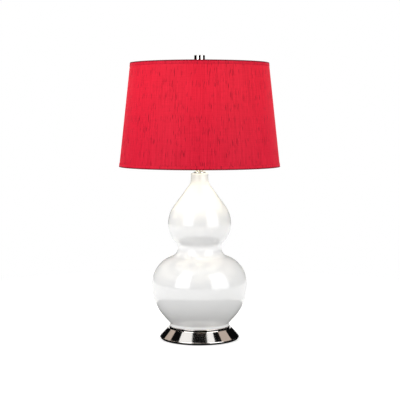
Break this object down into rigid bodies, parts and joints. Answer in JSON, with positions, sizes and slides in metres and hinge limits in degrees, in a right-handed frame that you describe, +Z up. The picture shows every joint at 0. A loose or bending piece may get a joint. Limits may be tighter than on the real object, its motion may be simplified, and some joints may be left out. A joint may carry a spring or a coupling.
{
  "type": "table lamp",
  "caption": "Table lamp: glazed double gourd body on a polished skirt base, tapered drum shade carried by a harp, turn-key socket and cylinder finial.",
  "frame": {"origin": "centre of the felt's underside, on the table", "axes": "+Z up the lamp pipe, +X along the harp, +Y to the back, where the lead leaves"},
  "size_m": [0.4444, 0.4444, 0.7855],
  "materials": {
    "felt": "pressed felt",
    "board": "hard fibre board",
    "polished_nickel": "mirror polished nickel plate",
    "black_plastic": "moulded, satin",
    "cast_weight": "as cast",
    "zinc_steel": "zinc plated",
    "soft_gasket": "soft sheet",
    "white_glaze": "clear gloss glaze on white body",
    "harp_nickel": "nickel plated wire",
    "socket_metal": "nickel plated sheet",
    "phenolic": "moulded phenolic",
    "brass_parts": "turned brass",
    "insulating_card": "waxed card",
    "bulb_insulator": "black vitrite",
    "bulb_metal": "bright",
    "opal_glass": "frosted inside",
    "clear_glass": "clear",
    "filament": "drawn wire",
    "white_wire": "white powder coat",
    "shade_lining": "white styrene sheet",
    "red_silk": "slubbed silk-like cloth",
    "red_silk_trim": "the same cloth, folded"
  },
  "bodies": {
    "stand": {"felt_pad": "felt", "bottom_board": "board", "base_skirt": "polished_nickel", "lead_bush": "black_plastic", "base_weight": "cast_weight", "bottom_washer": "zinc_steel", "bottom_lock_washer": "zinc_steel", "bottom_nut": "zinc_steel", "lamp_pipe": "zinc_steel", "foot_gasket": "soft_gasket", "ceramic_lower": "white_glaze", "ceramic_upper": "white_glaze", "ceramic_neck": "white_glaze", "neck_gasket": "soft_gasket", "vase_cap": "polished_nickel", "neck_stem": "polished_nickel", "harp_saddle": "harp_nickel", "saddle_nut": "zinc_steel", "socket_cap": "socket_metal", "socket_set_screw": "zinc_steel", "socket_core": "phenolic", "terminal_screws": "brass_parts", "screw_shell": "brass_parts", "centre_contact": "brass_parts", "socket_liner": "insulating_card", "socket_shell": "socket_metal"},
    "switch_key": {"switch_shaft": "brass_parts", "switch_knob": "black_plastic"},
    "bulb": {"bulb_tip_contact": "brass_parts", "bulb_cap_insulator": "bulb_insulator", "bulb_cap": "bulb_metal", "bulb_globe": "opal_glass", "bulb_stem": "clear_glass", "bulb_filament": "filament"},
    "harp": {"harp_hoop": "harp_nickel"},
    "sleeve_right": {"harp_sleeve_right": "harp_nickel"},
    "sleeve_left": {"harp_sleeve_left": "harp_nickel"},
    "stud": {"harp_stud": "brass_parts"},
    "shade": {"shade_spider": "white_wire", "shade_top_ring": "white_wire", "shade_bottom_ring": "white_wire", "shade_liner": "shade_lining", "shade_fabric": "red_silk", "shade_seam": "red_silk", "shade_top_trim": "red_silk_trim", "shade_bottom_trim": "red_silk_trim"},
    "finial": {"finial_knob": "polished_nickel", "finial_insert": "brass_parts"}
  },
  "joints": [
    {"name": "key_turn", "type": "hinge", "parent": "stand", "child": "switch_key", "pos_m": [0, -0.02, 0.51], "axis": [0, -1, 0], "continuous": true},
    {"name": "bulb_lift", "type": "slide", "parent": "stand", "child": "bulb", "axis": [0, 0, 1], "range_m": [0, 0.09]},
    {"name": "harp_lift", "type": "slide", "parent": "stand", "child": "harp", "axis": [0, 0, 1], "range_m": [0, 0.15]},
    {"name": "sleeve_right_lift", "type": "slide", "parent": "harp", "child": "sleeve_right", "axis": [0, 0, 1], "range_m": [0, 0.012]},
    {"name": "sleeve_left_lift", "type": "slide", "parent": "harp", "child": "sleeve_left", "axis": [0, 0, 1], "range_m": [0, 0.012]},
    {"name": "shade_swivel", "type": "hinge", "parent": "harp", "child": "stud", "pos_m": [0, 0, 0.75], "axis": [0, 0, 1], "continuous": true},
    {"name": "shade_lift", "type": "slide", "parent": "stud", "child": "shade", "axis": [0, 0, 1], "range_m": [0, 0.3]},
    {"name": "finial_lift", "type": "slide", "parent": "shade", "child": "finial", "axis": [0, 0, 1], "range_m": [0, 0.03]}
  ]
}
